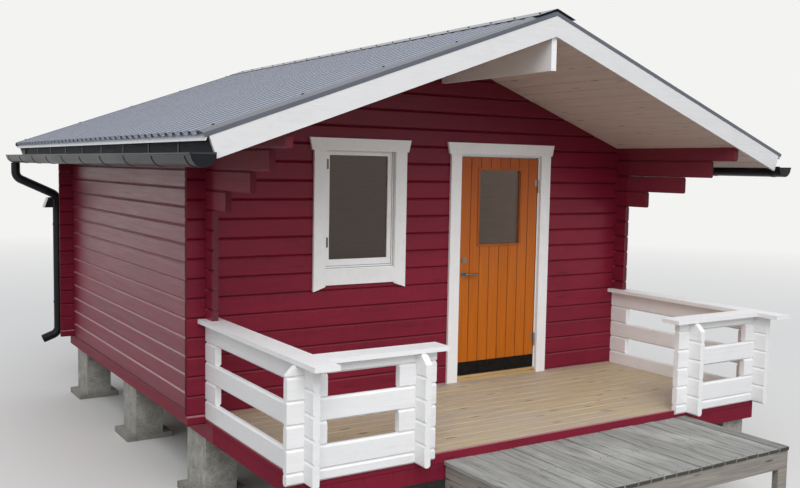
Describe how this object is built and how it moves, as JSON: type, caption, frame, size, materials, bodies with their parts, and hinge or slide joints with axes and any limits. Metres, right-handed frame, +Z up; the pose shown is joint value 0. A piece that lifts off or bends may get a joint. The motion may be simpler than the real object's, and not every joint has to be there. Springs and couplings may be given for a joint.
{
  "type": "holiday cottage",
  "caption": "Small log cottage on concrete piers with a gabled metal roof, a railed porch under the front overhang, a window, a hinged door and a plank landing.",
  "frame": {"origin": "on the ground under the middle of the house, at the underside of the middle footing slab", "axes": "+Z up, +X along the front wall to the right as seen from the front, +Y from the front to the back"},
  "size_m": [5.266, 6.6605, 3.5629],
  "materials": {
    "concrete": "cast concrete, weathered",
    "log_paint": "wine-red paint on planed logs",
    "white_paint": "white paint on planed timber",
    "raw_timber": "sawn spruce",
    "floor_timber": "planed pine boards",
    "soffit_timber": "greyed boards, matt",
    "roof_metal": "dark grey coated steel sheet",
    "trim_metal": "dark grey coated steel",
    "black_timber": "black paint, satin",
    "drip_metal": "light grey coated steel",
    "gutter_metal": "black coated steel, glossy",
    "deck_timber": "pale pine, bare",
    "landing_timber": "weathered grey planks",
    "glass": "clear pane",
    "steel": "brushed",
    "door_stain": "amber stained boards, satin",
    "kick_metal": "black sheet, satin",
    "lamp_metal": "black coated casting, matt",
    "lamp_glass": "frosted pane"
  },
  "bodies": {
    "cottage": {"footing_slabs": "concrete", "pier_blocks": "concrete", "base_beams": "log_paint", "joists": "raw_timber", "floor": "floor_timber", "left_wall": "log_paint", "right_wall": "log_paint", "rear_wall": "log_paint", "rear_gable": "log_paint", "front_gable": "log_paint", "front_wall_left": "log_paint", "front_wall_right": "log_paint", "ridge_beam": "white_paint", "ceiling_boards": "soffit_timber", "rafter_panels": "raw_timber", "roof_sheet_right": "roof_metal", "roof_sheet_left": "roof_metal", "verge_trims": "trim_metal", "ridge_cap": "trim_metal", "bargeboards": "white_paint", "fascia_boards": "black_timber", "drip_flashings": "drip_metal", "gutter_right": "gutter_metal", "gutter_left": "gutter_metal", "gutter_hooks": "gutter_metal", "downpipe_right": "gutter_metal", "downpipe_left": "gutter_metal", "porch_rim": "log_paint", "porch_deck": "deck_timber", "left_rail": "white_paint", "right_rail": "white_paint", "front_rail_left": "white_paint", "front_rail_right": "white_paint", "rail_caps": "white_paint", "window_frame": "white_paint", "window_sash": "white_paint", "window_glass": "glass", "window_casing": "white_paint", "door_casing": "white_paint", "door_frame": "white_paint", "door_threshold": "deck_timber", "hinge_frame_halves": "steel", "landing_boards": "landing_timber", "landing_frame": "landing_timber", "pipe_brackets": "gutter_metal", "corner_lamp": "lamp_metal", "lamp_lens": "lamp_glass"},
    "door": {"door_leaf": "door_stain", "door_glass": "glass", "glazing_beads": "door_stain", "kick_plate": "kick_metal", "door_lock": "steel", "hinge_leaf_halves": "steel"},
    "lever": {"door_lever": "steel"}
  },
  "joints": [
    {"name": "door_hinge", "type": "hinge", "parent": "cottage", "child": "door", "pos_m": [1.0325, -1.9713, 1.6], "axis": [0, 0, 1], "range_deg": [0, 110]},
    {"name": "lever_turn", "type": "hinge", "parent": "door", "child": "lever", "pos_m": [0.244, -1.962, 1.571], "axis": [0, 1, 0], "range_deg": [0, 45], "stiffness_Nm_per_rad": 1}
  ]
}
